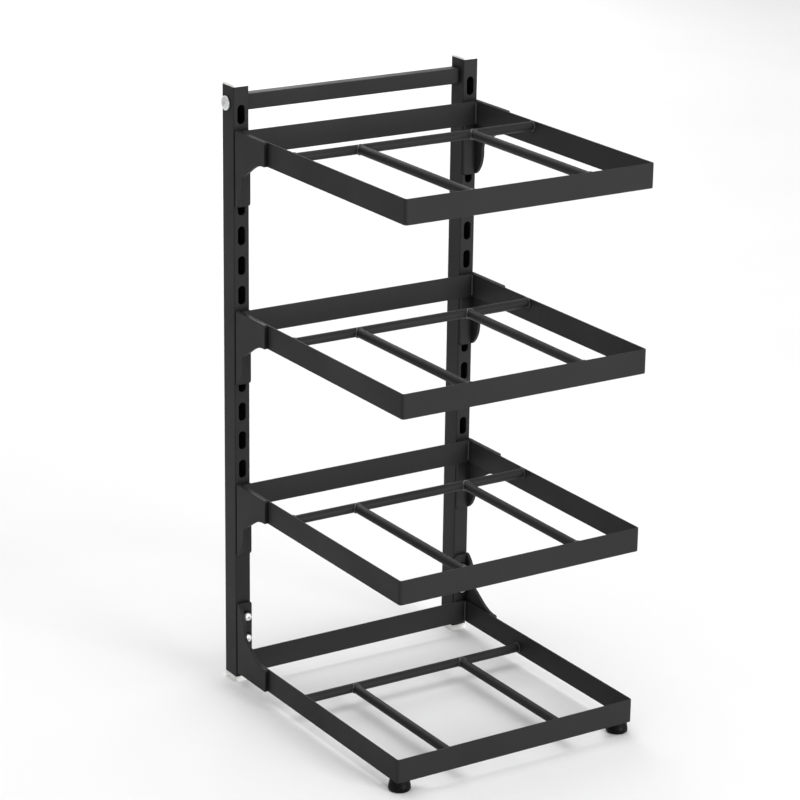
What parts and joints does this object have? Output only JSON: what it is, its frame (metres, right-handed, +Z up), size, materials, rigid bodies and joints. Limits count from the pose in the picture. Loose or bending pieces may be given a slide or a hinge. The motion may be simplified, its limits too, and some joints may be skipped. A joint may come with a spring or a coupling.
{
  "type": "height-adjustable cookware storage rack",
  "caption": "Free-standing tiered wire-and-strip steel shelf rack for pans: slotted rear uprights, hook-on shelves with bent-plate brackets, screwed base shelf, crossbar and feet.",
  "frame": {"origin": "on the floor, below the middle of the rack's outer box", "axes": "+X to the rack's right seen from its open front, +Y towards the uprights at the back, +Z up"},
  "size_m": [0.238, 0.27, 0.517],
  "materials": {
    "black_steel": "semi-gloss black powder coat",
    "black_washer": "black oxide, dull",
    "zinc_steel": "bright zinc plate",
    "white_plastic": "moulded, fine satin",
    "black_rubber": "dull moulded rubber"
  },
  "bodies": {
    "frame": {"upright_left": "black_steel", "end_cap_left": "white_plastic", "glide_left": "white_plastic", "crossbar_insert_left": "zinc_steel", "crossbar_screw_left": "zinc_steel", "foot_left": "black_rubber", "foot_tab_left": "black_steel", "foot_screw_left": "zinc_steel", "base_washer_left_lower": "black_washer", "base_rivet_nut_left_lower": "zinc_steel", "base_screw_left_lower": "zinc_steel", "base_washer_left_upper": "black_washer", "base_rivet_nut_left_upper": "zinc_steel", "base_screw_left_upper": "zinc_steel", "upright_right": "black_steel", "end_cap_right": "white_plastic", "glide_right": "white_plastic", "crossbar_insert_right": "zinc_steel", "crossbar_screw_right": "zinc_steel", "foot_right": "black_rubber", "foot_tab_right": "black_steel", "foot_screw_right": "zinc_steel", "base_washer_right_lower": "black_washer", "base_rivet_nut_right_lower": "zinc_steel", "base_screw_right_lower": "zinc_steel", "base_washer_right_upper": "black_washer", "base_rivet_nut_right_upper": "zinc_steel", "base_screw_right_upper": "zinc_steel", "top_crossbar": "black_steel", "base_rim": "black_steel", "base_rear_bar": "black_steel", "base_cross_wire": "black_steel", "base_wire_left": "black_steel", "base_wire_right": "black_steel", "base_bracket_left": "black_steel", "base_bracket_right": "black_steel"},
    "upper_shelf": {"upper_rim": "black_steel", "upper_rear_bar": "black_steel", "upper_cross_wire": "black_steel", "upper_wire_left": "black_steel", "upper_wire_right": "black_steel", "upper_bracket_left": "black_steel", "upper_bracket_right": "black_steel"},
    "middle_shelf": {"middle_rim": "black_steel", "middle_rear_bar": "black_steel", "middle_cross_wire": "black_steel", "middle_wire_left": "black_steel", "middle_wire_right": "black_steel", "middle_bracket_left": "black_steel", "middle_bracket_right": "black_steel"},
    "lower_shelf": {"lower_rim": "black_steel", "lower_rear_bar": "black_steel", "lower_cross_wire": "black_steel", "lower_wire_left": "black_steel", "lower_wire_right": "black_steel", "lower_bracket_left": "black_steel", "lower_bracket_right": "black_steel"}
  },
  "joints": [
    {"name": "upper_shelf_lift", "type": "slide", "parent": "frame", "child": "upper_shelf", "axis": [0, 0, 1], "range_m": [0, 0.006]},
    {"name": "middle_shelf_lift", "type": "slide", "parent": "frame", "child": "middle_shelf", "axis": [0, 0, 1], "range_m": [0, 0.006]},
    {"name": "lower_shelf_lift", "type": "slide", "parent": "frame", "child": "lower_shelf", "axis": [0, 0, 1], "range_m": [0, 0.006]}
  ]
}
